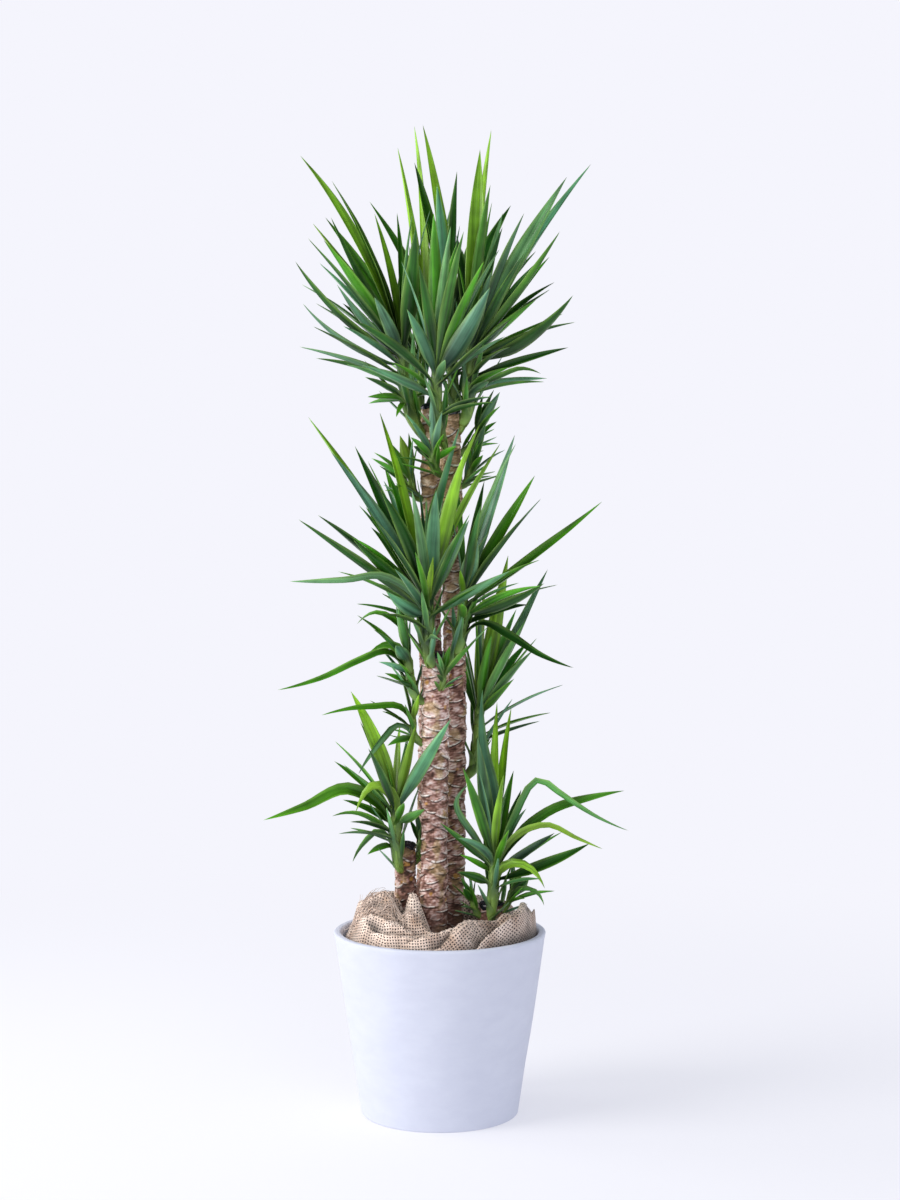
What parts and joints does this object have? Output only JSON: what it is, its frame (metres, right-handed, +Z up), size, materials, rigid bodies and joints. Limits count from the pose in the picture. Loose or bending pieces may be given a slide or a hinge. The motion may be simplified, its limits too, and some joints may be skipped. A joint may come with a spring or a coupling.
{
  "type": "potted yucca",
  "caption": "Tall potted yucca: scarred canes of different heights with tufts of sword-shaped leaves, coarse burlap heaped over the soil, in a tapered matt planter.",
  "frame": {"origin": "on the floor at the planter's axis, in the middle of its flat underside", "axes": "+Z up along the planter's axis and the canes, -Z out of the planter's underside, -Y to the front of the plant, +X to its right"},
  "size_m": [0.63, 0.5487, 1.73],
  "materials": {
    "planter": "matt pale fibre-clay",
    "soil": "crumbly potting soil",
    "burlap": "open plain-woven jute",
    "bark": "rough bark with leaf scars",
    "wax": "glossy dark sealing wax",
    "leaf": "leathery green leaf with a soft sheen"
  },
  "bodies": {
    "root": {"pot": "planter", "soil": "soil", "burlap": "burlap", "cane_tall_right": "bark", "cane_tall_left": "bark", "cane_middle": "bark", "cane_short": "bark", "cane_stub": "bark", "wax_cap_tall_right": "wax", "wax_cap_tall_left": "wax", "wax_cap_middle": "wax", "wax_cap_short": "wax", "wax_cap_stub": "wax", "shoot_top_left": "leaf", "shoot_top_centre": "leaf", "shoot_top_right": "leaf", "shoot_top_back": "leaf", "shoot_top_back_left": "leaf", "shoot_side_front": "leaf", "shoot_side_left": "leaf", "shoot_side_right": "leaf", "shoot_side_right_low": "leaf", "shoot_mid_front": "leaf", "shoot_mid_right": "leaf", "shoot_mid_back": "leaf", "shoot_mid_left": "leaf", "shoot_mid_left_low": "leaf", "shoot_mid_small": "leaf", "shoot_low_back": "leaf", "shoot_short_front": "leaf", "shoot_short_back": "leaf", "shoot_stub_front": "leaf", "shoot_stub_right": "leaf", "shoot_stub_left": "leaf"}
  },
  "joints": []
}
